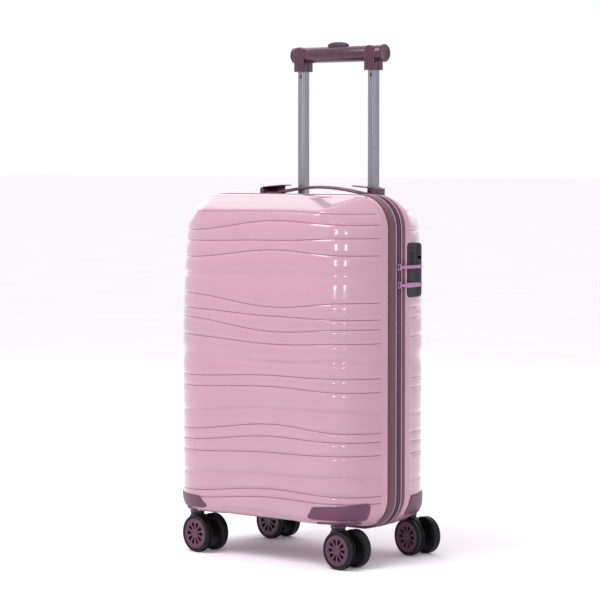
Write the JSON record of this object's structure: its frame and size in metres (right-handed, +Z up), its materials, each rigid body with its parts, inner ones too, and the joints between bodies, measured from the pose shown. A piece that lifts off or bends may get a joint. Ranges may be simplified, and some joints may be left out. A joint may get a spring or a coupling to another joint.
{
  "type": "hard shell suitcase",
  "caption": "Cabin suitcase of two wavy-ribbed hard half shells joined by a zip, with a telescopic trolley, carry handle, combination lock and twin-wheel swivel casters.",
  "frame": {"origin": "on the floor under the middle of the closed case, with the casters standing on z = 0", "axes": "+X to the case's right (the lock side), +Y from the front shell to the trolley side, +Z up"},
  "size_m": [0.3772, 0.2323, 0.7725],
  "materials": {
    "shell_pink": "glossy moulded polypropylene with wavy ribs",
    "band_fabric": "woven polyester gusset",
    "zip_fabric": "nylon zip tape and coil",
    "pull_metal": "mauve plated zinc",
    "plum_plastic": "satin moulded plastic",
    "lock_black": "fine matt black",
    "tube_aluminium": "anodised",
    "fork_black": "matt black nylon",
    "tyre_rubber": "matt black",
    "lining_fabric": "woven polyester lining",
    "strap_webbing": "elastic webbing"
  },
  "bodies": {
    "case_back": {"rear_shell": "shell_pink", "rear_gusset": "band_fabric", "rear_zip_tape": "zip_fabric", "rear_lining": "lining_fabric", "cross_straps": "strap_webbing", "strap_buckle": "plum_plastic", "lock_body": "lock_black", "trolley_bezel": "plum_plastic", "trolley_foot": "plum_plastic", "outer_tube_left": "tube_aluminium", "outer_tube_right": "tube_aluminium", "handle_mount_left": "plum_plastic", "handle_mount_right": "plum_plastic", "wheel_housing_rear_left": "plum_plastic", "wheel_housing_rear_right": "plum_plastic"},
    "case_front": {"front_shell": "shell_pink", "front_gusset": "band_fabric", "front_zip_tape": "zip_fabric", "front_lining": "lining_fabric", "wheel_housing_front_left": "plum_plastic", "wheel_housing_front_right": "plum_plastic"},
    "divider": {"divider_panel": "lining_fabric"},
    "slider_upper": {"zip_slider_upper": "pull_metal"},
    "slider_lower": {"zip_slider_lower": "pull_metal"},
    "pull_upper": {"zip_pull_upper": "pull_metal"},
    "pull_lower": {"zip_pull_lower": "pull_metal"},
    "dial_1": {"lock_dial_1": "lock_black"},
    "dial_2": {"lock_dial_2": "lock_black"},
    "dial_3": {"lock_dial_3": "lock_black"},
    "lock_release": {"lock_release": "lock_black"},
    "carry_handle": {"carry_handle": "plum_plastic"},
    "trolley_middle": {"middle_tube_left": "tube_aluminium", "middle_tube_right": "tube_aluminium"},
    "trolley_top": {"inner_tube_left": "tube_aluminium", "inner_tube_right": "tube_aluminium", "trolley_grip": "plum_plastic", "grip_cap_left": "plum_plastic", "grip_cap_right": "plum_plastic"},
    "trolley_button": {"trolley_button": "plum_plastic"},
    "caster_front_left": {"caster_fork_front_left": "fork_black"},
    "wheel_front_left_a": {"tyre_front_left_a": "tyre_rubber", "hub_front_left_a": "plum_plastic"},
    "wheel_front_left_b": {"tyre_front_left_b": "tyre_rubber", "hub_front_left_b": "plum_plastic"},
    "caster_front_right": {"caster_fork_front_right": "fork_black"},
    "wheel_front_right_a": {"tyre_front_right_a": "tyre_rubber", "hub_front_right_a": "plum_plastic"},
    "wheel_front_right_b": {"tyre_front_right_b": "tyre_rubber", "hub_front_right_b": "plum_plastic"},
    "caster_rear_left": {"caster_fork_rear_left": "fork_black"},
    "wheel_rear_left_a": {"tyre_rear_left_a": "tyre_rubber", "hub_rear_left_a": "plum_plastic"},
    "wheel_rear_left_b": {"tyre_rear_left_b": "tyre_rubber", "hub_rear_left_b": "plum_plastic"},
    "caster_rear_right": {"caster_fork_rear_right": "fork_black"},
    "wheel_rear_right_a": {"tyre_rear_right_a": "tyre_rubber", "hub_rear_right_a": "plum_plastic"},
    "wheel_rear_right_b": {"tyre_rear_right_b": "tyre_rubber", "hub_rear_right_b": "plum_plastic"}
  },
  "joints": [
    {"name": "lid_hinge", "type": "hinge", "parent": "case_back", "child": "case_front", "pos_m": [-0.1862, -0.0063, 0.2955], "axis": [0, 0, 1], "range_deg": [-180, 0]},
    {"name": "divider_hinge", "type": "hinge", "parent": "case_front", "child": "divider", "pos_m": [-0.165, -0.0295, 0.29], "axis": [0, 0, 1], "range_deg": [0, 14]},
    {"name": "slider_upper_slide", "type": "slide", "parent": "case_back", "child": "slider_upper", "axis": [0, 0, 1], "range_m": [0, 0.035]},
    {"name": "slider_lower_slide", "type": "slide", "parent": "case_back", "child": "slider_lower", "axis": [0, 0, 1], "range_m": [-0.3, 0]},
    {"name": "pull_upper_hinge", "type": "hinge", "parent": "slider_upper", "child": "pull_upper", "pos_m": [0.1892, -0.0063, 0.436], "axis": [0, 0, 1], "range_deg": [-170, 0]},
    {"name": "pull_lower_hinge", "type": "hinge", "parent": "slider_lower", "child": "pull_lower", "pos_m": [0.1892, -0.0063, 0.41], "axis": [0, 0, 1], "range_deg": [-170, 0]},
    {"name": "dial_1_turn", "type": "hinge", "parent": "case_back", "child": "dial_1", "pos_m": [0.1798, 0.0245, 0.4395], "axis": [0, 0, 1], "continuous": true},
    {"name": "dial_2_turn", "type": "hinge", "parent": "case_back", "child": "dial_2", "pos_m": [0.1798, 0.0245, 0.4465], "axis": [0, 0, 1], "continuous": true},
    {"name": "dial_3_turn", "type": "hinge", "parent": "case_back", "child": "dial_3", "pos_m": [0.1798, 0.0245, 0.4535], "axis": [0, 0, 1], "continuous": true},
    {"name": "lock_release_press", "type": "slide", "parent": "case_back", "child": "lock_release", "axis": [0, 0, -1], "range_m": [0, 0.004], "stiffness_N_per_m": 250, "springref_m": -0.001},
    {"name": "carry_handle_lift", "type": "slide", "parent": "case_back", "child": "carry_handle", "axis": [0, 0, 1], "range_m": [0, 0.005]},
    {"name": "trolley_middle_slide", "type": "slide", "parent": "case_back", "child": "trolley_middle", "axis": [0, 0, 1], "range_m": [0, 0.24]},
    {"name": "trolley_top_slide", "type": "slide", "parent": "trolley_middle", "child": "trolley_top", "axis": [0, 0, 1], "range_m": [-0.19, 0]},
    {"name": "trolley_button_press", "type": "slide", "parent": "trolley_top", "child": "trolley_button", "axis": [0, 0, -1], "range_m": [0, 0.004], "stiffness_N_per_m": 400, "springref_m": -0.001},
    {"name": "swivel_front_left", "type": "hinge", "parent": "case_front", "child": "caster_front_left", "pos_m": [-0.1362, -0.0871, 0.06], "axis": [0, 0, 1], "continuous": true},
    {"name": "spin_front_left_a", "type": "hinge", "parent": "caster_front_left", "child": "wheel_front_left_a", "pos_m": [-0.12012, -0.10562, 0.028], "axis": [0.1149, 0.9934, 0], "continuous": true},
    {"name": "spin_front_left_b", "type": "hinge", "parent": "caster_front_left", "child": "wheel_front_left_b", "pos_m": [-0.11632, -0.07274, 0.028], "axis": [0.1149, 0.9934, 0], "continuous": true},
    {"name": "swivel_front_right", "type": "hinge", "parent": "case_front", "child": "caster_front_right", "pos_m": [0.1362, -0.0871, 0.06], "axis": [0, 0, 1], "continuous": true},
    {"name": "spin_front_right_a", "type": "hinge", "parent": "caster_front_right", "child": "wheel_front_right_a", "pos_m": [0.15228, -0.10562, 0.028], "axis": [0.1149, 0.9934, 0], "continuous": true},
    {"name": "spin_front_right_b", "type": "hinge", "parent": "caster_front_right", "child": "wheel_front_right_b", "pos_m": [0.15608, -0.07274, 0.028], "axis": [0.1149, 0.9934, 0], "continuous": true},
    {"name": "swivel_rear_left", "type": "hinge", "parent": "case_back", "child": "caster_rear_left", "pos_m": [-0.1362, 0.0871, 0.06], "axis": [0, 0, 1], "continuous": true},
    {"name": "spin_rear_left_a", "type": "hinge", "parent": "caster_rear_left", "child": "wheel_rear_left_a", "pos_m": [-0.12012, 0.06858, 0.028], "axis": [0.1149, 0.9934, 0], "continuous": true},
    {"name": "spin_rear_left_b", "type": "hinge", "parent": "caster_rear_left", "child": "wheel_rear_left_b", "pos_m": [-0.11632, 0.10146, 0.028], "axis": [0.1149, 0.9934, 0], "continuous": true},
    {"name": "swivel_rear_right", "type": "hinge", "parent": "case_back", "child": "caster_rear_right", "pos_m": [0.1362, 0.0871, 0.06], "axis": [0, 0, 1], "continuous": true},
    {"name": "spin_rear_right_a", "type": "hinge", "parent": "caster_rear_right", "child": "wheel_rear_right_a", "pos_m": [0.1506, 0.06725, 0.028], "axis": [0.2011, 0.9796, 0], "continuous": true},
    {"name": "spin_rear_right_b", "type": "hinge", "parent": "caster_rear_right", "child": "wheel_rear_right_b", "pos_m": [0.15726, 0.09967, 0.028], "axis": [0.2011, 0.9796, 0], "continuous": true}
  ]
}
